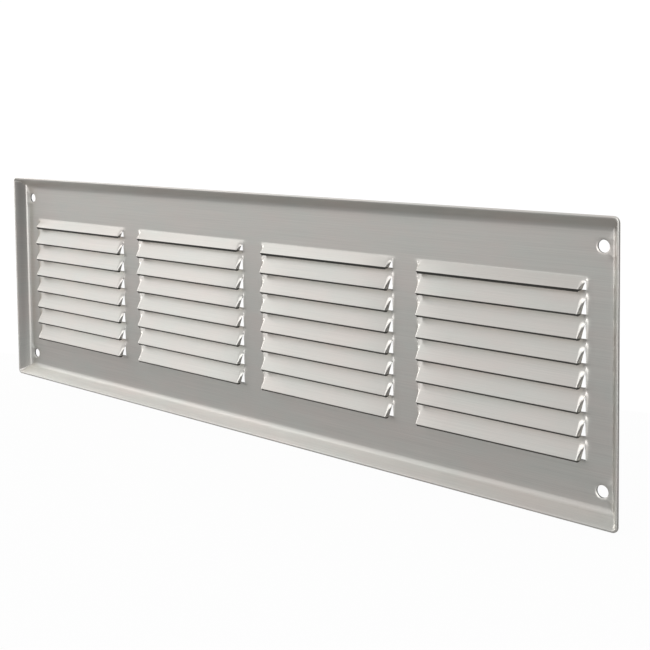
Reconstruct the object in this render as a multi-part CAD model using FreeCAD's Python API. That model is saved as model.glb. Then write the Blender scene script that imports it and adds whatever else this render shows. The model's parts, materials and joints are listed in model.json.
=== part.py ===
# Louvred ventilation panel, 400 x 120 mm, pressed from one stainless steel sheet.
#
# Frame: +X along the width, +Z up, the front faces -Y. The back of the flat field
# lies in the plane y = 0, and the origin is its centre. Lengths are millimetres.
#
# The sheet is a shallow dish: a flat field, a rim that slopes forward all round with
# mitred corners, a rounded crest, and a short return that folds back. Four columns of
# eight louvres are lanced from the field. Each louvre is a blade that leans out from a
# bend along its top to a free edge below. Its ends are drawn down as cheeks, which are
# torn from the web along their lower part.
#
# Sections are drawn as (height, forward) points: height along Z, forward along -Y.

import FreeCAD, Part
import math
import os
from FreeCAD import Vector

# Sheet
WIDTH = 400.0
HEIGHT = 120.0
SHEET = 1.0

# Rim, its crest and the return behind it
CREST_FORWARD = 7.6         # from the back of the field to the foremost point
RIM_ANGLE = 57.0            # slope of the rim, degrees from the field
CREST_RADIUS = 1.2          # front radius of the fold along the crest
FOOT_RADIUS = 3.0           # front radius of the bend between field and rim
RETURN_DEPTH = 3.0          # from the crest back to the sheared edge
CORNER_RADIUS = 2.6         # outer corners, seen from the front

# Screw holes, one near each corner
HOLE_DIAMETER = 5.0
HOLE_X = 190.0
HOLE_Z = 47.5

# Louvres
COLUMN_STARTS = (-183.0, -88.0, 7.0, 102.0)
LOUVRE_LENGTH = 81.0
ROWS = 8
ROW_PITCH = 9.55
LOWEST_CUT = -37.4          # height of the lowest row's lance cut
TOP_BLADE_HEIGHT = 6.3      # from cut to bend in the top row; the others take the pitch
BLADE_RISE = 4.0            # free edge ahead of the field
TOP_BLADE_RISE = 3.4        # the same in the top row, whose blade is shorter
BLADE_GAP = 1.0             # from the cut up to the front corner of the free edge
BEND_RADIUS = 1.5           # front radius of the bend along the blade's top
BEND_SETBACK = 0.6          # that bend's corner lies this far below the cut above it
CHEEK_RADIUS = 2.0          # front radius between blade and cheek
CHEEK_LEFT = 2.0            # what is left of the cheek at the free edge
TEAR_SHARE = 0.6            # part of the blade's height over which the cheek is torn

SPARE = 5.0                 # reach of cutting solids past the sheet
LAP = 0.1                   # overlap of pieces that are fused, and slack in comparisons


def folded_lines(path):
    """Front and back line of a sheet folded along path, which runs with the front on
    its left.

    path holds (height, forward, radius) corners of the front line. A positive radius
    has its centre in front of the sheet, and the back line shares the centres. Each
    line is a list of [point] and of [first, middle, last] points of an arc.
    """
    points = [Vector(height, forward, 0) for height, forward, _ in path]
    steps = [(end - start).normalize() for start, end in zip(points, points[1:])]
    fronts = [Vector(-step.y, step.x, 0) for step in steps]
    front = [[points[0]]]
    back = [[points[0] - fronts[0] * SHEET]]
    for index in range(1, len(points) - 1):
        corner = points[index]
        radius = path[index][2]
        tangent = abs(radius) * math.tan(0.5 * steps[index - 1].getAngle(steps[index]))
        first = corner - steps[index - 1] * tangent
        last = corner + steps[index] * tangent
        centre = first + fronts[index - 1] * radius
        outward = (corner - centre).normalize()
        back_radius = abs(radius) + math.copysign(SHEET, radius)
        front.append([first, centre + outward * abs(radius), last])
        back.append([first - fronts[index - 1] * SHEET, centre + outward * back_radius,
                     last - fronts[index] * SHEET])
    front.append([points[-1]])
    back.append([points[-1] - fronts[-1] * SHEET])
    return front, back


def section_face(items):
    """Face in the plane x = 0 bounded by the points and arcs of a closed line."""
    placed = [[Vector(0, -point.y, point.x) for point in item] for item in items]
    edges = []
    for item, following in zip(placed, placed[1:] + placed[:1]):
        if len(item) == 3:
            edges.append(Part.Arc(*item).toShape())
        edges.append(Part.LineSegment(item[-1], following[0]).toShape())
    return Part.Face(Part.Wire(edges))


def turned(shape, degrees):
    """A copy of shape turned about the Y axis."""
    copy = shape.copy()
    copy.rotate(Vector(0, 0, 0), Vector(0, 1, 0), degrees)
    return copy


def moved(shape, x, z):
    """A copy of shape moved in the plane of the sheet."""
    copy = shape.copy()
    copy.translate(Vector(x, 0, z))
    return copy


def slab(corners, back, front):
    """A solid with the given outline in X and Z, between two distances forward."""
    points = [Vector(x, -back, z) for x, z in corners]
    face = Part.Face(Part.makePolygon(points + points[:1]))
    return face.extrude(Vector(0, back - front, 0))


def rim_section():
    """Section of rim, crest and return with its outer face at height 0, and the
    distance from there down to where the flat field begins."""
    slope = math.radians(RIM_ANGLE)
    touch = CREST_RADIUS * (1 + math.sin(slope))
    touch_forward = CREST_FORWARD - CREST_RADIUS * (1 - math.cos(slope))
    foot = touch + (touch_forward - SHEET) / math.tan(slope)
    reach = foot + FOOT_RADIUS * math.tan(0.5 * slope)
    front, back = folded_lines([
        (-reach - LAP, SHEET, 0),
        (-foot, SHEET, FOOT_RADIUS),
        (0, touch_forward + touch * math.tan(slope), -CREST_RADIUS),
        (0, CREST_FORWARD - RETURN_DEPTH, 0)])
    back_again = [item[::-1] for item in reversed(back)]
    return section_face(front + back_again), reach


def rim_side(section, length, distance):
    """One side of the rim at the given distance above the centre, mitred at 45 degrees
    inside its rounded corners."""
    prism = moved(section, -0.5 * length, distance).extrude(Vector(length, 0, 0))
    half = 0.5 * length - CORNER_RADIUS
    inside = distance - CORNER_RADIUS
    mitre = 2 * CREST_FORWARD
    return prism.common(slab([
        (-half, distance + SPARE), (half, distance + SPARE), (half, inside),
        (half - mitre, inside - mitre), (mitre - half, inside - mitre), (-half, inside)],
        -SPARE, CREST_FORWARD + SPARE))


def rim_corner(section):
    """The rounded outer part of the rim swung through a quarter turn about the Y axis."""
    swung = slab([(-LAP, -CORNER_RADIUS), (LAP, -CORNER_RADIUS), (LAP, LAP), (-LAP, LAP)],
                 -SPARE, CREST_FORWARD + SPARE)
    outer = moved(section.common(swung), 0, CORNER_RADIUS)
    return outer.revolve(Vector(0, 0, 0), Vector(0, 1, 0), 90)


def dish():
    """Flat field with the rim, crest and return all round."""
    section, reach = rim_section()
    across = 0.5 * WIDTH - reach
    up = 0.5 * HEIGHT - reach
    field = slab([(-across, -up), (across, -up), (across, up), (-across, up)], 0, SHEET)
    long_side = rim_side(section, WIDTH, 0.5 * HEIGHT)
    short_side = rim_side(section, HEIGHT, 0.5 * WIDTH)
    pieces = [long_side, turned(short_side, 90), turned(long_side, 180), turned(short_side, 270)]
    corner = rim_corner(section)
    x = 0.5 * WIDTH - CORNER_RADIUS
    z = 0.5 * HEIGHT - CORNER_RADIUS
    for degrees, side, end in ((0, 1, 1), (90, 1, -1), (180, -1, -1), (270, -1, 1)):
        pieces.append(moved(turned(corner, degrees), side * x, end * z))
    return field.fuse(pieces).removeSplitter()


def hood(lip, bend, start, length, radius):
    """The space under a louvre from the plane of its cut to its bend, with rounded end
    edges. lip holds the points from the cut to the free edge, bend the arc's points."""
    last = bend[-1]
    outline = [[Vector(0, -SPARE, 0)]] + [[point] for point in lip]
    outline += [bend, [Vector(last.x, -SPARE, 0)]]
    prism = moved(section_face(outline), start, 0).extrude(Vector(length, 0, 0))
    ends = [edge for edge in prism.Edges
            if edge.BoundBox.XLength < LAP
            and edge.BoundBox.ZMin > lip[-1].x - LAP
            and edge.BoundBox.YMax < LAP - last.y]
    return prism.makeFillet(radius, ends)


def louvre(height, rise):
    """What one louvre adds to the field and what it takes from both, with its cut at
    height 0 and its left end at x = 0."""
    bend_height = height - BEND_SETBACK
    slope = math.atan2(rise, bend_height - BLADE_GAP)
    edge = Vector(BLADE_GAP, SHEET + rise, 0)
    front, back = folded_lines([
        (edge.x, edge.y, 0),
        (bend_height, SHEET, BEND_RADIUS),
        (height + SPARE, SHEET, 0)])
    # The free edge is sheared square to the blade, and the cheek follows it down.
    square_cut = Vector(0, edge.y - edge.x / math.tan(slope), 0)
    outside = hood([square_cut, edge], front[1], 0, LOUVRE_LENGTH, CHEEK_RADIUS)
    behind = slab([(-SPARE, -SPARE), (LOUVRE_LENGTH + SPARE, -SPARE),
                   (LOUVRE_LENGTH + SPARE, height + SPARE), (-SPARE, height + SPARE)],
                  -2 * SPARE, 0.5 * SHEET)
    bend_start = back[1][0]
    under_blade = Vector(0, bend_start.y + bend_start.x * math.tan(slope), 0)
    inside = hood([under_blade], back[1], SHEET, LOUVRE_LENGTH - 2 * SHEET,
                  CHEEK_RADIUS - SHEET)
    # The tear runs from its apex in the web to the foot of the cheek at the free edge.
    apex = TEAR_SHARE * height
    steepness = (rise - CHEEK_LEFT) / (apex - BLADE_GAP)
    low_end = SHEET + steepness * (apex + SPARE)
    tear = section_face([[Vector(apex, SHEET, 0)], [Vector(-SPARE, SHEET, 0)],
                         [Vector(-SPARE, low_end, 0)]])
    below = slab([(-SPARE, -2 * SPARE), (LOUVRE_LENGTH + SPARE, -2 * SPARE),
                  (LOUVRE_LENGTH + SPARE, 0), (-SPARE, 0)], -SPARE, 3 * SPARE)
    tear = tear.extrude(Vector(LOUVRE_LENGTH + 2 * SPARE, 0, 0)).cut(below)
    tears = [moved(tear, -SPARE, 0)]
    return outside.cut(behind).cut(tears), inside


def screw_holes():
    hole = Part.makeCylinder(0.5 * HOLE_DIAMETER, 2 * SPARE, Vector(0, SPARE, 0), Vector(0, -1, 0))
    return [moved(hole, x, z) for x in (-HOLE_X, HOLE_X) for z in (-HOLE_Z, HOLE_Z)]


def louvred_panel():
    """The whole sheet: dish, louvres and screw holes."""
    plain = louvre(ROW_PITCH, BLADE_RISE)
    top = louvre(TOP_BLADE_HEIGHT, TOP_BLADE_RISE)
    added = []
    taken = screw_holes()
    for row in range(ROWS):
        outside, inside = top if row == ROWS - 1 else plain
        for start in COLUMN_STARTS:
            cut = LOWEST_CUT + row * ROW_PITCH
            added.append(moved(outside, start, cut))
            taken.append(moved(inside, start, cut))
    return dish().fuse(added).cut(taken).removeSplitter()


os.makedirs("parts", exist_ok=True)
louvred_panel().exportStep("parts/louvred_panel.step")
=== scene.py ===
import json
import math
import bpy
import numpy as np
from mathutils import Matrix, Vector


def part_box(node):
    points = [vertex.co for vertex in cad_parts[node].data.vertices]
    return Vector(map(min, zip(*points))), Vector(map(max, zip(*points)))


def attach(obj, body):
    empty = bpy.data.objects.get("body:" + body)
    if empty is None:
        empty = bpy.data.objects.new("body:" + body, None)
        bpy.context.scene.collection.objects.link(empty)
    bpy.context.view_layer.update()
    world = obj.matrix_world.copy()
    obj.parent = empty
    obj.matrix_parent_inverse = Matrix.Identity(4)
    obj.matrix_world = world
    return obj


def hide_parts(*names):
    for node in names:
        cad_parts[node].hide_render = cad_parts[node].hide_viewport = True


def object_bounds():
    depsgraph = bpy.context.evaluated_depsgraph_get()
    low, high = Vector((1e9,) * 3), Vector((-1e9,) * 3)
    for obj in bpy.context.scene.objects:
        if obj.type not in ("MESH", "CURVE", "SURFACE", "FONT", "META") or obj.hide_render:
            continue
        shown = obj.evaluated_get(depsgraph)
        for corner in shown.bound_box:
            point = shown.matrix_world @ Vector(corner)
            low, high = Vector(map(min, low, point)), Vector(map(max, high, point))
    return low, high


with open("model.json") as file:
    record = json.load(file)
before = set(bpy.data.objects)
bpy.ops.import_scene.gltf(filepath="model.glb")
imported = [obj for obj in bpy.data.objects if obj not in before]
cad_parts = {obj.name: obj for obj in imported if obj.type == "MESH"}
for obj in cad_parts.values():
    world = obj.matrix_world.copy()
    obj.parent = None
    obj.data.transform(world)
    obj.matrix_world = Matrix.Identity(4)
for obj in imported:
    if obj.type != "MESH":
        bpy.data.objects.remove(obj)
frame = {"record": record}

cad_low, cad_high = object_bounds()

# ---------------------------------------------------------------------------------
# The pressed sheet. One piece of 1 mm stainless steel, brushed along its length
# while it is flat. A press lances and draws the louvres, punches the screw holes
# and folds the rim forward, with its edge turned back. Lengths are metres.
# ---------------------------------------------------------------------------------

low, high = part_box("louvred_panel")
half_width, half_height, crest = high.x, high.z, -low.y
sheet = 0.001

# Rim: the front line of its foot bend, slope, crest and return. touch is how far in
# from the outer face the crest's arc meets the slope, and reach how far in the flat
# field begins.
rim_slope = math.radians(57)
foot_radius = 0.003
crest_radius = 0.00065
return_depth = 0.0008
corner_radius = 0.0026
touch = crest_radius * (1 + math.sin(rim_slope))
touch_forward = crest - crest_radius * (1 - math.cos(rim_slope))
reach = (touch + (touch_forward - sheet) / math.tan(rim_slope)
         + foot_radius * math.tan(rim_slope / 2))

# Louvres.
column_starts = (-0.183, -0.088, 0.007, 0.102)
louvre_length = 0.081
rows = 8
row_pitch = 0.00955
lowest_cut = -0.0368
top_height = 0.0057         # the top row's blade; the others are one pitch high
rise = 0.004                # from the field forward to the free edge
top_rise = 0.0034
gap = 0.0004                # from the cut up to the front of the free edge
setback = 0.0006            # from the cut above down to the corner of the bend
bend_radius = 0.0015
curl_width = 0.0028         # from the foot of the cheek to where the blade is flat
edge_curl = 0.0013          # the same at the free edge, where the cheek is torn
draft = 0.0011              # how far the right cheek leans in at the free edge
left_draft = 0.0001         # the same at the left cheek
soft_rise = 0.0021          # a blade lower than this meets the web in an S-curve
tear_share = 0.70           # part of the blade's height over which the cheek is torn
cheek_left = 0.002          # what is left of the cheek at the free edge
lip_share = 0.65            # height of the web's drawn lip, as a part of the blade's there
lip_left = 0.4              # what is left of the lip at the cut, as a part of its height
lip_width = 0.0008          # distance over which the lip falls away
roll = 0.00012              # depth of the rolled-over corner along a lanced edge
roll_width = 0.00025
shear_slant = 0.0013        # how far the back corner of a free edge is let down again from
                            # where the rolled corner puts it, to show the sheared face

# Screw holes, where the record's bolt pattern puts them.
pattern = next(m for m in frame["record"]["mounts"] if m["name"] == "screw_holes")["dims"]
hole_x = pattern["spacing_x_mm"] / 2000
hole_z = pattern["spacing_y_mm"] / 2000
hole_radius = pattern["hole_r_mm"] / 1000
punch_roll = 0.0003         # how deep the front corner is drawn into the hole
punch_width = 0.0008        # and how far round the hole


def blade_line(height, forward):
    """Front line of a blade from its free edge (s = 0) up to the next cut: a straight
    run, a concave arc at the bend and a short flat. Gives the flat length s, the height
    above the cut and the distance ahead of the field at each grid line, and the index
    of the line where the tear ends."""
    corner = height - setback
    lean = math.atan2(forward, corner - gap)
    tangent = bend_radius * math.tan(lean / 2)
    straight = math.hypot(forward, corner - gap) - tangent
    flat = height - corner - tangent
    whole = straight + bend_radius * lean + flat
    lower = np.array([0, 0.4, 1, 2.4]) * roll_width
    torn = np.linspace(lower[-1], tear_share * whole, 6)[1:]
    upper = np.linspace(torn[-1], straight, 3)[1:]
    s = np.concatenate([lower, torn, upper])
    up = gap + s * math.cos(lean)
    ahead = forward - s * math.sin(lean)
    rolled = roll * np.clip(1 - s / roll_width, 0, 1) ** 2
    apex = len(lower) + len(torn) - 1
    turn = np.linspace(lean, 0, 5)[1:]
    s = np.concatenate([s, straight + bend_radius * (lean - turn), [whole - flat / 2, whole]])
    up = np.concatenate([up + rolled * math.sin(lean),
                         corner + tangent - bend_radius * np.sin(turn),
                         [height - flat / 2, height]])
    ahead = np.concatenate([ahead - rolled * math.cos(lean),
                            bend_radius * (1 - np.cos(turn)), [0, -roll]])
    return s / whole, up, ahead, apex


def smooth(u):
    """The S-curve 3u^2 - 2u^3."""
    return u * u * (3 - 2 * u)


def foot_height(share, ahead, apex):
    """Height of the web's lip beside a louvre: a part of the blade's own height above
    the tear, and lower again towards the cut."""
    top = lip_share * ahead[apex]
    torn = top * (lip_left + (1 - lip_left) * np.clip(share / share[apex], 0, 1))
    return np.where(share < share[apex], torn, lip_share * np.maximum(ahead, 0))


def cheek(height, line, curl, draft):
    """Points of a louvre's end for curl lines (0 at the foot, 1 on the flat blade) and
    blade lines. Across, it is a quarter ellipse from the web's lip up to the blade,
    softened to an S-curve where the blade is low. Below the tear's end it starts at the
    torn edge. Gives inward distance, height above the cut and distance ahead."""
    share, up, ahead, apex = line
    foot = foot_height(share, ahead, apex)
    below = np.clip(1 - share / share[apex], 0, 1)
    base = np.where(below > 0, foot[apex], foot)
    torn = foot[apex] + (ahead[0] - cheek_left - foot[apex]) * below
    span = np.maximum(ahead - base, 1e-9)
    first = np.arcsin(np.clip((torn - base) / span, 0, 1)) * (below > 0)
    angle = first + (math.pi / 2 - first) * curl[:, None]
    width = 1 - np.cos(angle)
    steep = np.clip(span / soft_rise, 0, 1)
    part = steep * np.sin(angle) + (1 - steep) * smooth(width)
    inward = draft * below + (curl_width + (edge_curl - curl_width) * below) * width
    web_up = share * height
    tie = 1 - smooth(below)
    across = up + (web_up - up) * (1 - np.sin(angle)) * tie
    return inward, across, base + (ahead - base) * part


def dish_forward(x, z):
    """Distance of the front ahead of y = 0 over the field and the rim's foot, which is
    an arc in the distance in from the nearest outer face."""
    inward = np.minimum(half_width - np.abs(x), half_height - np.abs(z))
    angle = np.arcsin(np.clip((reach - inward) / foot_radius, 0, math.sin(rim_slope)))
    return sheet + foot_radius * (1 - np.cos(angle))


foot_angles = np.linspace(0, rim_slope, 6)
foot_in = reach - foot_radius * np.sin(foot_angles)
web_steps = np.array([0.0019, 0.0014, 0.0010, 0.0007, 0.0004, 0.00018])
web_below = np.array([0.0036, 0.0018, 0.0009, 0.0004])
web_above = np.array([0, 0.0004, 0.0012, 0.003, 0.0055])
curl_lines = np.linspace(0, 1, 10)
curl_reach = max(draft + edge_curl, curl_width)

# Grid lines along X. Round the screw holes they lie evenly on both sides of the
# centre, over some cells of the field and some of the rim's foot.
field_cells, foot_cells = 6, 3
across = half_width - foot_in
margin = np.concatenate([np.linspace(2 * hole_x - across[foot_cells], across[0], field_cells + 1),
                         across[1:]])
x_lines = [-margin[::-1]]
for number, start in enumerate(column_starts):
    end = start + louvre_length
    middle = np.linspace(start + curl_reach, end - curl_reach, 6)[1:-1]
    x_lines += [start - web_steps, start + curl_reach * curl_lines, middle,
                end - curl_reach * curl_lines[::-1], end + web_steps[::-1]]
    if number < len(column_starts) - 1:
        following = column_starts[number + 1]
        x_lines.append(np.linspace(end + web_steps[0], following - web_steps[0], 5)[1:-1])
x_lines.append(margin)
x_lines = np.concatenate(x_lines)

# Grid lines along Z, with those of each row's blade.
plain_line = blade_line(row_pitch, rise)
top_line = blade_line(top_height, top_rise)
top = lowest_cut + (rows - 1) * row_pitch + top_height
up_lines = half_height - foot_in
hole_square = 0.0039        # half the height of the square of cells round a hole
hole_band = np.linspace(hole_z - hole_square, hole_z + hole_square, 9)
outer = np.concatenate([hole_band, up_lines])
z_lines = [-outer[::-1], lowest_cut - web_below]
cuts = []
for row in range(rows):
    cuts.append(sum(len(part) for part in z_lines))
    cut = lowest_cut + row * row_pitch
    line, height = (top_line, top_height) if row == rows - 1 else (plain_line, row_pitch)
    z_lines.append(cut + height * line[0][:-1])
z_lines += [top + web_above, outer]
z_lines = np.concatenate(z_lines)

x_grid, z_grid = np.meshgrid(x_lines, z_lines, indexing="ij")
points = np.stack([x_grid, -dish_forward(x_grid, z_grid), z_grid], axis=-1)
index = np.arange(points[..., 0].size).reshape(x_grid.shape)
flat_map = np.stack([x_grid, z_grid], axis=-1)
extra_points, extra_map, free_edges = [], [], []
next_index = index.size
upper_index = index.copy()
louvre_cell = np.zeros((len(x_lines) - 1, len(z_lines) - 1), bool)

# Louvres: each takes its block of grid points and draws them forward. The cut and the
# torn edges have a second vertex at each grid point, one for the web below and beside
# and one for the blade.
curl_count = len(curl_lines)
for start in column_starts:
    end = start + louvre_length
    i0 = np.argmin(np.abs(x_lines - start))
    i1 = np.argmin(np.abs(x_lines - end))
    for row, j0 in enumerate(cuts):
        last = row == rows - 1
        height = top_height if last else row_pitch
        line = top_line if last else plain_line
        share, up, ahead, apex = line
        count = len(share)
        cut = lowest_cut + row * row_pitch
        block = np.empty((i1 - i0 + 1, count, 3))
        block[:, :, 0] = x_lines[i0:i1 + 1, None]
        block[:, :, 1] = -sheet - ahead
        block[:, :, 2] = cut + up
        inward, end_up, end_ahead = cheek(height, line, curl_lines, left_draft)
        block[:curl_count, :, 0] = start + inward
        block[:curl_count, :, 1] = -sheet - end_ahead
        block[:curl_count, :, 2] = cut + end_up
        inward, end_up, end_ahead = cheek(height, line, curl_lines, draft)
        block[-curl_count:, :, 0] = end - inward[::-1]
        block[-curl_count:, :, 1] = -sheet - end_ahead[::-1]
        block[-curl_count:, :, 2] = cut + end_up[::-1]
        if last:
            block[:, -1, 1] = -sheet
        # The web on both sides is raised in a lip that falls away from the louvre.
        foot = foot_height(share, ahead, apex)
        near = lip_left * lip_share * ahead[apex]
        if not last:
            foot = np.maximum(foot, near * np.exp((share - 1) * height / lip_width))
        foot[0] = near
        stop = count - 1 if not last else count
        for foot_line, outward in ((i0, -1), (i1, 1)):
            web = foot_line + outward * np.arange(len(web_steps) + 1)
            fall = np.exp(-np.abs(x_lines[web] - x_lines[foot_line]) / lip_width)
            points[web, j0:j0 + stop, 1] = -sheet - foot[:stop] * fall[:, None]
        # The block's own points, then the second vertices along the cut and the tears.
        inner = slice(i0 + 1, i1)
        points[inner, j0 + 1:j0 + count, :] = block[1:-1, 1:, :]
        points[i0, j0 + apex:j0 + count, :] = block[0, apex:, :]
        points[i1, j0 + apex:j0 + count, :] = block[-1, apex:, :]
        doubled = np.zeros(block.shape[:2], bool)
        doubled[:, 0] = True
        doubled[0, :apex] = True
        doubled[-1, :apex] = True
        fresh = next_index + np.arange(doubled.sum())
        next_index += len(fresh)
        upper_index[i0:i1 + 1, j0:j0 + count][doubled] = fresh
        free_edges.append(upper_index[i0:i1 + 1, j0].copy())
        extra_points.append(block[doubled])
        extra_map.append(flat_map[i0:i1 + 1, j0:j0 + count][doubled])
        louvre_cell[i0:i1, j0:j0 + count - 1] = True

# Screw holes: the grid's cells round each are replaced by rings that run from the
# square of grid lines to the circle, sinking where the punch drew the corner in.
is_cut = np.isin(np.arange(1, len(z_lines)), cuts)
lower_row = np.where(louvre_cell, upper_index[:-1, :-1], index[:-1, :-1])
lower_next = np.where(louvre_cell, upper_index[1:, :-1], index[1:, :-1])
joined = louvre_cell & ~is_cut
upper_row = np.where(joined, upper_index[:-1, 1:], index[:-1, 1:])
upper_next = np.where(joined, upper_index[1:, 1:], index[1:, 1:])
kept = np.ones(louvre_cell.shape, bool)
hole_radii = hole_radius + punch_width * np.array([1, 0.7, 0.45, 0.2, 0])
triangles, straight_points = [], []


def strip(inner, outer):
    """Triangles between two closed rows of vertices, the first on the left of the way
    they run."""
    inner_next, outer_next = np.roll(inner, -1), np.roll(outer, -1)
    return np.concatenate([np.stack([inner, outer, outer_next], -1),
                           np.stack([inner, outer_next, inner_next], -1)])


def boundary(i0, i1, j0, j1):
    """Grid vertices round the cells between those lines, anticlockwise from the front."""
    return np.concatenate([index[i0:i1, j0], index[i1, j0:j1],
                           index[i1:i0:-1, j1], index[i0, j1:j0:-1]])


cells_across = field_cells + foot_cells
cells_up = len(hole_band) - 1
left = len(foot_in) - 1 - foot_cells
right = len(x_lines) - 1 - left - cells_across
bottom = len(up_lines)
upper = len(z_lines) - 1 - bottom - cells_up
for centre_x, i0 in ((-hole_x, left), (hole_x, right)):
    for centre_z, j0 in ((-hole_z, bottom), (hole_z, upper)):
        kept[i0:i0 + cells_across, j0:j0 + cells_up] = False
        ring = boundary(i0, i0 + cells_across, j0, j0 + cells_up)
        angle = -0.75 * math.pi + 2 * math.pi * np.arange(len(ring)) / len(ring)
        for radius in hole_radii:
            x = centre_x + radius * np.cos(angle)
            z = centre_z + radius * np.sin(angle)
            sunk = punch_roll * (1 - (radius - hole_radius) / punch_width) ** 2
            fresh = next_index + np.arange(len(ring))
            next_index += len(ring)
            extra_points.append(np.stack([x, -dish_forward(x, z) + sunk, z], -1))
            extra_map.append(np.stack([x, z], -1))
            straight_points.append(fresh)
            triangles.append(strip(fresh, ring))
            ring = fresh

# Each cell left is two triangles, split along the diagonal that points at the middle.
rising = x_lines[:-1, None] * z_lines[None, :-1] > 0
for chosen, corners in ((kept & rising, ((0, 1, 2), (0, 2, 3))),
                        (kept & ~rising, ((0, 1, 3), (1, 2, 3)))):
    square = [part[chosen] for part in (lower_row, lower_next, upper_next, upper_row)]
    for corner in corners:
        triangles.append(np.stack([square[k] for k in corner], -1))

# Rim: its profile carried round the outline, whose corners are arcs outside the point
# where the mitre meets the corner radius.
foot_top = sheet + foot_radius * (1 - math.cos(rim_slope))
crest_angles = np.linspace(rim_slope, -math.pi / 2, 13)
profile_in = np.concatenate([[0.5 * (foot_in[-1] + touch)],
                             crest_radius * (1 + np.sin(crest_angles)), [0, 0]])
profile_forward = np.concatenate([[0.5 * (touch_forward + foot_top)],
                                  crest - crest_radius * (1 - np.cos(crest_angles)),
                                  crest - np.linspace(crest_radius, return_depth, 3)[1:]])
corner_turns = np.linspace(0, math.pi / 2, 7)[1:-1]
inner_x, inner_z = x_lines[-1], z_lines[-1]
sides = ((index[:, 0], 0), (index[-1, :], 1), (index[::-1, -1], 2), (index[0, ::-1], 3))
ring = np.concatenate([np.concatenate([line, np.repeat(line[-1], len(corner_turns))])
                       for line, _ in sides])
flow = 0.0                  # length of the profile so far, which is what it takes when flat
before_in, before_forward = foot_in[-1], foot_top
grid_points = points.reshape(-1, 3)
for inward, forward in zip(profile_in, profile_forward):
    flow += math.hypot(inward - before_in, forward - before_forward)
    before_in, before_forward = inward, forward
    round_off = max(corner_radius - inward, 0)
    straight_x = half_width - inward - round_off
    straight_z = half_height - inward - round_off
    ring_points, ring_map = [], []
    for line, number in sides:
        turn = number * math.pi / 2
        along_x = grid_points[line, 0] / inner_x * straight_x
        along_z = grid_points[line, 2] / inner_z * straight_z
        if number % 2 == 0:
            side = number - 1
            x, z = along_x, np.full(len(line), side * (straight_z + round_off))
            u, v = grid_points[line, 0], np.full(len(line), side * (inner_z + flow))
        else:
            side = 2 - number
            x, z = np.full(len(line), side * (straight_x + round_off)), along_z
            u, v = np.full(len(line), side * (inner_x + flow)), grid_points[line, 2]
        angle = turn - math.pi / 2 + corner_turns
        centre_x = math.copysign(straight_x, math.cos(turn - math.pi / 4))
        centre_z = math.copysign(straight_z, math.sin(turn - math.pi / 4))
        corner_x = centre_x + round_off * np.cos(angle)
        corner_z = centre_z + round_off * np.sin(angle)
        x, z = np.append(x, corner_x), np.append(z, corner_z)
        ring_points.append(np.stack([x, np.full(len(x), -forward), z], -1))
        ring_map.append(np.stack([np.append(u, corner_x + np.sign(corner_x) * flow),
                                  np.append(v, corner_z + np.sign(corner_z) * flow)], -1))
    fresh = next_index + np.arange(len(ring))
    next_index += len(ring)
    extra_points.append(np.concatenate(ring_points))
    extra_map.append(np.concatenate(ring_map))
    triangles.append(strip(ring, fresh))
    ring = fresh

# One front skin: vertices at the same place are joined and empty triangles dropped.
front = np.concatenate([points.reshape(-1, 3)] + extra_points)
front_map = np.concatenate([flat_map.reshape(-1, 2)] + extra_map)
straight_back = np.zeros(len(front), bool)
straight_back[np.concatenate(straight_points)] = True
hanging = np.zeros(len(front), bool)
hanging[np.concatenate(free_edges)] = True
faces = np.concatenate(triangles)
used = np.unique(faces)
_, first, joined_to = np.unique(np.round(front[used] / 1e-8).astype(np.int64), axis=0,
                                return_index=True, return_inverse=True)
number = np.zeros(len(front), np.int64)
number[used] = joined_to.ravel()
faces = number[faces]
faces = faces[(faces != np.roll(faces, 1, axis=1)).all(axis=1)]
front, front_map = front[used][first], front_map[used][first]
straight_back, hanging = straight_back[used][first], hanging[used][first]

# The back skin lies one sheet behind the front, square to it, with the sheet taken
# thinner inside the crest, where the fold would cross itself. The holes' walls run
# straight back, and nothing passes the plane of the field's back.
least_squareness = 0.6      # keeps the back of a sharp corner from running away
crest_depth = 0.9 * crest_radius
a, b, c = front[faces[:, 0]], front[faces[:, 1]], front[faces[:, 2]]
face_normal = np.cross(b - a, c - a)
face_normal /= np.linalg.norm(face_normal, axis=1, keepdims=True)
normal = np.zeros_like(front)
for corner in range(3):
    np.add.at(normal, faces[:, corner], face_normal)
normal /= np.linalg.norm(normal, axis=1, keepdims=True)
squareness = np.zeros(len(front))
touching = np.zeros(len(front))
for corner in range(3):
    np.add.at(squareness, faces[:, corner], np.sum(face_normal * normal[faces[:, corner]], axis=1))
    np.add.at(touching, faces[:, corner], 1)
depth = sheet / np.clip(squareness / touching, least_squareness, 1)
inward = np.minimum(half_width - np.abs(front[:, 0]), half_height - np.abs(front[:, 2]))
depth[inward < touch] = crest_depth
back = front - normal * depth[:, None]
hole_points = front[straight_back]
back[straight_back] = hole_points
back[straight_back, 1] = sheet - dish_forward(hole_points[:, 0], hole_points[:, 2])
back[hanging, 2] -= shear_slant
back[:, 1] = np.minimum(back[:, 1], 0)

# The sheared edges close the gap between the two skins along every open edge.
edges = np.concatenate([faces[:, [0, 1]], faces[:, [1, 2]], faces[:, [2, 0]]])
count = len(front)
code = edges[:, 0] * count + edges[:, 1]
open_edges = edges[~np.isin(code, edges[:, 1] * count + edges[:, 0])]
start, stop = open_edges[:, 0], open_edges[:, 1]
walls = np.concatenate([np.stack([stop, start, start + count], -1),
                        np.stack([stop, start + count, stop + count], -1)])
all_faces = np.concatenate([faces, faces[:, ::-1] + count, walls])
all_points = np.concatenate([front, back])

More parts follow.
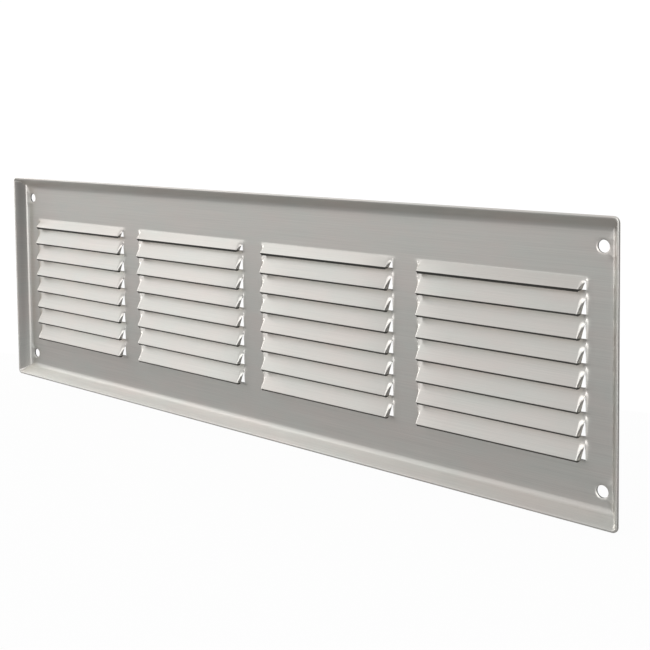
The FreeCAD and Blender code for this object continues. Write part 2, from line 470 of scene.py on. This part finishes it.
mesh = bpy.data.meshes.new("pressed_sheet")
mesh.from_pydata(all_points.tolist(), [], all_faces.tolist())
grain = mesh.uv_layers.new(name="flat_sheet")
corner_vertex = np.empty(len(mesh.loops), np.int32)
mesh.loops.foreach_get("vertex_index", corner_vertex)
grain.data.foreach_set("uv", np.tile(front_map, (2, 1))[corner_vertex].astype(np.float32).ravel())
mesh.shade_smooth()
mesh.set_sharp_from_angle(angle=math.radians(38))       # sheared corners, but no bend
mesh.update()
pressed_sheet = bpy.data.objects.new("pressed_sheet", mesh)
bpy.context.scene.collection.objects.link(pressed_sheet)
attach(pressed_sheet, "root")
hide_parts("louvred_panel")


# Finish: brush lines and mottling on the sheet as it lies flat, in metres. The group
# gives a tone to multiply a colour by, a change of roughness and a bumped normal.
# Fine blends the long lines with the fine ones, and Depth is the bump's strength.
line_scales = ((14, 2600), (45, 7000))          # along and across, long lines then fine
mottle_scale = (24, 60)
middle_noise = (0.3, 0.7)                       # the range in which most of the noise lies
cool_tint = (0.955, 0.985, 0.965, 1)
warm_tint = (1.0, 0.975, 0.955, 1)
line_tone = 0.08                                # lines are this much darker or lighter,
line_roughness = 0.05                           # this much smoother or rougher,
line_height = 0.00001                           # and this deep at full strength

grain_group = bpy.data.node_groups.new("brush_lines", "ShaderNodeTree")
for name, kind, way in (("Fine", "NodeSocketFloat", "INPUT"),
                        ("Depth", "NodeSocketFloat", "INPUT"),
                        ("Tone", "NodeSocketColor", "OUTPUT"),
                        ("Roughness", "NodeSocketFloat", "OUTPUT"),
                        ("Normal", "NodeSocketVector", "OUTPUT")):
    grain_group.interface.new_socket(name=name, socket_type=kind, in_out=way)


def brush_node(kind, **values):
    """A node in the brush line group, with the given input values."""
    node = grain_group.nodes.new(kind)
    for name, value in values.items():
        node.inputs[name.replace("_", " ")].default_value = value
    return node


def sheet_noise(scale, **values):
    """Noise on the flat sheet, with its own scale along and across the grain."""
    stretch = brush_node("ShaderNodeMapping", Scale=(*scale, 1))
    noise = brush_node("ShaderNodeTexNoise", Scale=1, **values)
    link(flat.outputs["UV"], stretch.inputs["Vector"])
    link(stretch.outputs["Vector"], noise.inputs["Vector"])
    return noise.outputs["Fac"]


def spread(value, amount, middle=0):
    """The noise turned into a value that runs the same amount below and above a middle."""
    span = brush_node("ShaderNodeMapRange", From_Min=middle_noise[0], From_Max=middle_noise[1],
                      To_Min=middle - amount, To_Max=middle + amount)
    link(value, span.inputs["Value"])
    return span.outputs["Result"]


inlet = grain_group.nodes.new("NodeGroupInput")
outlet = grain_group.nodes.new("NodeGroupOutput")
flat = grain_group.nodes.new("ShaderNodeUVMap")
flat.uv_map = "flat_sheet"
link = grain_group.links.new

# Brush lines: noise drawn out along the sheet, in a long and a fine layer.
blend = grain_group.nodes.new("ShaderNodeMix")
link(inlet.outputs["Fine"], blend.inputs["Factor"])
for scale, slot in zip(line_scales, (2, 3)):
    link(sheet_noise(scale, Detail=3, Roughness=0.6), blend.inputs[slot])
brush = blend.outputs[0]

# Mottling: the mill's cloudy patches, wider than they are high, warm and cool by turns.
tint = grain_group.nodes.new("ShaderNodeValToRGB")
for element, position, colour in zip(tint.color_ramp.elements, (0.35, 0.65),
                                     (cool_tint, warm_tint)):
    element.position = position
    element.color = colour
link(sheet_noise(mottle_scale, Detail=4, Roughness=0.6), tint.inputs["Fac"])
tone = grain_group.nodes.new("ShaderNodeVectorMath")
tone.operation = "SCALE"
link(tint.outputs["Color"], tone.inputs[0])
link(spread(brush, line_tone, middle=1), tone.inputs["Scale"])
link(tone.outputs["Vector"], outlet.inputs["Tone"])

link(spread(brush, line_roughness), outlet.inputs["Roughness"])
relief = brush_node("ShaderNodeBump", Distance=line_height)
link(inlet.outputs["Depth"], relief.inputs["Strength"])
link(brush, relief.inputs["Height"])
link(relief.outputs["Normal"], outlet.inputs["Normal"])


across_grain = 0.25         # a quarter turn, which draws highlights out across the lines


def steel(name, colour, roughness, anisotropy, fine, depth):
    """Stainless steel: one colour times the brush lines' tone, over a roughness that the
    lines raise and lower, with highlights drawn out across the grain."""
    material = bpy.data.materials.new(name)
    material.use_nodes = True
    nodes, links = material.node_tree.nodes, material.node_tree.links
    shader = nodes["Principled BSDF"]
    shader.inputs["Metallic"].default_value = 1
    shader.inputs["Anisotropic"].default_value = anisotropy
    shader.inputs["Anisotropic Rotation"].default_value = across_grain
    tangent = nodes.new("ShaderNodeTangent")
    tangent.direction_type = "UV_MAP"
    tangent.uv_map = "flat_sheet"
    links.new(tangent.outputs["Tangent"], shader.inputs["Tangent"])
    lines = nodes.new("ShaderNodeGroup")
    lines.node_tree = grain_group
    lines.inputs["Fine"].default_value = fine
    lines.inputs["Depth"].default_value = depth
    colouring = nodes.new("ShaderNodeMix")
    colouring.data_type = "RGBA"
    colouring.blend_type = "MULTIPLY"
    colouring.inputs["Factor"].default_value = 1
    colouring.inputs[6].default_value = (*colour, 1)
    links.new(lines.outputs["Tone"], colouring.inputs[7])
    links.new(colouring.outputs[2], shader.inputs["Base Color"])
    add = nodes.new("ShaderNodeMath")
    add.inputs[1].default_value = roughness
    links.new(lines.outputs["Roughness"], add.inputs[0])
    links.new(add.outputs[0], shader.inputs["Roughness"])
    links.new(lines.outputs["Normal"], shader.inputs["Normal"])
    return material


# The sheet is bright. Its sheared faces are torn and dull, and coloured darker still as painted
# shade, standing in for the shaded gap under each blade's free edge.
mesh.materials.append(steel("brushed_steel", (0.69, 0.668, 0.645), roughness=0.36,
                            anisotropy=0.8, fine=0.4, depth=0.3))
mesh.materials.append(steel("sheared_steel_painted_shade", (0.10, 0.098, 0.094), roughness=0.45,
                            anisotropy=0.2, fine=0.8, depth=0.6))
# The sheared faces, the walls round every open edge, take the steel darkened as painted shade.
which = np.zeros(len(all_faces), np.int32)
which[-len(walls):] = 1
mesh.polygons.foreach_set("material_index", which)
mesh.update()

# ---------------------------------------------------------------------------------
# Camera. In front on the right, a little above the panel and nearly level, with the
# lens shifted so that the panel lies in the middle of the square picture.
# ---------------------------------------------------------------------------------

camera_place = (0.395140, -0.385978, 0.102801)
camera_round = math.radians(42.017)     # from straight ahead of the panel to its right
camera_down = math.radians(3.720)
camera_roll = math.radians(-0.610)

camera_data = bpy.data.cameras.new("camera")
camera_data.lens = 62.237
camera_data.sensor_width = 36
camera_data.shift_y = -0.2290
camera_data.clip_start = 0.01
camera_data.clip_end = 100
camera = bpy.data.objects.new("camera", camera_data)
bpy.context.scene.collection.objects.link(camera)
turn = (Matrix.Rotation(camera_round, 3, "Z")
        @ Matrix.Rotation(math.pi / 2 - camera_down, 3, "X")
        @ Matrix.Rotation(camera_roll, 3, "Z"))
camera.matrix_world = Matrix.Translation(camera_place) @ turn.to_4x4()
bpy.context.scene.camera = camera

# ---------------------------------------------------------------------------------
# Floor and backdrop. A pale sweep that runs under the panel and curves up behind it.
# To the eye it is white all over, and it takes a trace of the panel's shadow. In the
# metal's reflections it is white behind the panel and grey in front of it.
# ---------------------------------------------------------------------------------

floor_height = cad_low.z - 0.0005
floor_radius = 3.0
sweep_radius = 0.6
wall_height = 3.0
round_steps = 72
hub_radius = 0.05           # of the flat piece in the middle
wall_start, wall_full = 0.2, 0.5    # the wall rises between these sines of the way round
floor_colour = (0.8, 0.8, 0.8, 1)
own_light = 0.96            # part of the floor's look that is its own light
front_light = 0.34          # that light in reflections, in front of the panel
back_light = 1.05           # and behind it
front_edge, back_edge = 0.05, 0.12  # the light changes between these lines behind the panel,
edge_skew = -0.35                   # which come forward on the left by this slope

# The sweep's profile is revolved: out along the floor, round the bend and up.
bend_turn = np.linspace(0, math.pi / 2, 13)
flat_out = np.linspace(hub_radius, floor_radius - sweep_radius, 12)
profile_out = np.concatenate([flat_out, floor_radius - sweep_radius * (1 - np.sin(bend_turn[1:])),
                              [floor_radius, floor_radius]])
profile_up = np.concatenate([np.zeros(len(flat_out)), sweep_radius * (1 - np.cos(bend_turn[1:])),
                             [0.5 * (sweep_radius + wall_height), wall_height]])
way_round = np.linspace(0, 2 * math.pi, round_steps, endpoint=False)[:, None]
behind = np.clip((np.sin(way_round) - wall_start) / (wall_full - wall_start), 0, 1)
sweep = np.stack([profile_out * np.cos(way_round), profile_out * np.sin(way_round),
                  floor_height + profile_up * smooth(behind)], -1)
ids = np.arange(sweep[..., 0].size).reshape(round_steps, -1)
turned = np.roll(ids, -1, axis=0)
quads = np.stack([ids[:, :-1], ids[:, 1:], turned[:, 1:], turned[:, :-1]], -1).reshape(-1, 4)
floor_mesh = bpy.data.meshes.new("floor")
floor_mesh.from_pydata(sweep.reshape(-1, 3).tolist(), [], quads.tolist() + [ids[:, 0].tolist()])
floor_mesh.shade_smooth()
floor = bpy.data.objects.new("floor", floor_mesh)
bpy.context.scene.collection.objects.link(floor)

floor_material = bpy.data.materials.new("pale_floor")
floor_material.use_nodes = True
nodes, links = floor_material.node_tree.nodes, floor_material.node_tree.links
floor_shader = nodes["Principled BSDF"]
floor_shader.inputs["Base Color"].default_value = floor_colour
floor_shader.inputs["Roughness"].default_value = 0.9
floor_shader.inputs["Specular IOR Level"].default_value = 0
place = nodes.new("ShaderNodeTexCoord")
split = nodes.new("ShaderNodeSeparateXYZ")
links.new(place.outputs["Object"], split.inputs["Vector"])
fade = nodes.new("ShaderNodeMapRange")
fade.interpolation_type = "SMOOTHSTEP"
fade.inputs["From Min"].default_value = front_edge
fade.inputs["From Max"].default_value = back_edge
fade.inputs["To Min"].default_value = front_light
fade.inputs["To Max"].default_value = back_light
skew = nodes.new("ShaderNodeMath")
skew.operation = "MULTIPLY_ADD"
skew.inputs[1].default_value = edge_skew
links.new(split.outputs["X"], skew.inputs[0])
links.new(split.outputs["Y"], skew.inputs[2])
links.new(skew.outputs[0], fade.inputs["Value"])
white = nodes.new("ShaderNodeEmission")
path = nodes.new("ShaderNodeLightPath")
brightest = nodes.new("ShaderNodeMath")
brightest.operation = "MAXIMUM"
links.new(fade.outputs["Result"], brightest.inputs[0])
links.new(path.outputs["Is Camera Ray"], brightest.inputs[1])
links.new(brightest.outputs[0], white.inputs["Strength"])
seen = path.outputs["Is Camera Ray"]
for kind in ("Is Glossy Ray", "Is Transmission Ray"):
    either = nodes.new("ShaderNodeMath")
    either.operation = "MAXIMUM"
    links.new(seen, either.inputs[0])
    links.new(path.outputs[kind], either.inputs[1])
    seen = either.outputs[0]
share = nodes.new("ShaderNodeMath")
share.operation = "MULTIPLY"
share.inputs[1].default_value = own_light
links.new(seen, share.inputs[0])
mix = nodes.new("ShaderNodeMixShader")
links.new(share.outputs[0], mix.inputs[0])
links.new(floor_shader.outputs[0], mix.inputs[1])
links.new(white.outputs[0], mix.inputs[2])
links.new(mix.outputs[0], nodes["Material Output"].inputs[0])
floor_mesh.materials.append(floor_material)

# ---------------------------------------------------------------------------------
# Room and lamps. A pale room that darkens to the right, with soft boxes at the left,
# high and low on the left, and at the front.
# ---------------------------------------------------------------------------------

pale_until, dark_from = 0.40, 0.85      # how far the way looked at points to the right
pale_strength, dark_strength = 0.84, 0.03

world = bpy.data.worlds.new("room")
bpy.context.scene.world = world
world.use_nodes = True
nodes, links = world.node_tree.nodes, world.node_tree.links
way = nodes.new("ShaderNodeTexCoord")
parts = nodes.new("ShaderNodeSeparateXYZ")
links.new(way.outputs["Generated"], parts.inputs["Vector"])
dark_side = nodes.new("ShaderNodeMapRange")
dark_side.interpolation_type = "SMOOTHSTEP"
dark_side.inputs["From Min"].default_value = pale_until
dark_side.inputs["From Max"].default_value = dark_from
dark_side.inputs["To Min"].default_value = pale_strength
dark_side.inputs["To Max"].default_value = dark_strength
links.new(parts.outputs["X"], dark_side.inputs["Value"])
room_light = nodes["Background"]
room_light.inputs["Color"].default_value = (1, 1, 1, 1)
links.new(dark_side.outputs["Result"], room_light.inputs["Strength"])


def soft_box(name, place, width, height, brightness):
    """A soft box that faces the panel's middle. Its power is its brightness times pi
    times its area."""
    data = bpy.data.lights.new(name, "AREA")
    data.shape = "RECTANGLE"
    data.size = width
    data.size_y = height
    data.energy = brightness * math.pi * width * height
    light = bpy.data.objects.new(name, data)
    bpy.context.scene.collection.objects.link(light)
    light.matrix_world = (Matrix.Translation(place)
                          @ (-Vector(place)).to_track_quat("-Z", "Y").to_matrix().to_4x4())


soft_box("left_box", (-1.65, 0.14, 0.2), width=1.1, height=1.2, brightness=3.0)
soft_box("high_box", (-1.30, -0.66, 1.06), width=0.7, height=0.9, brightness=0.75)
soft_box("low_box", (-1.10, -1.20, 0.22), width=1.2, height=0.35, brightness=0.45)
soft_box("front_box", (0.51, -1.41, 0.35), width=1.0, height=0.8, brightness=2.2)

bpy.context.scene.view_settings.view_transform = "Standard"
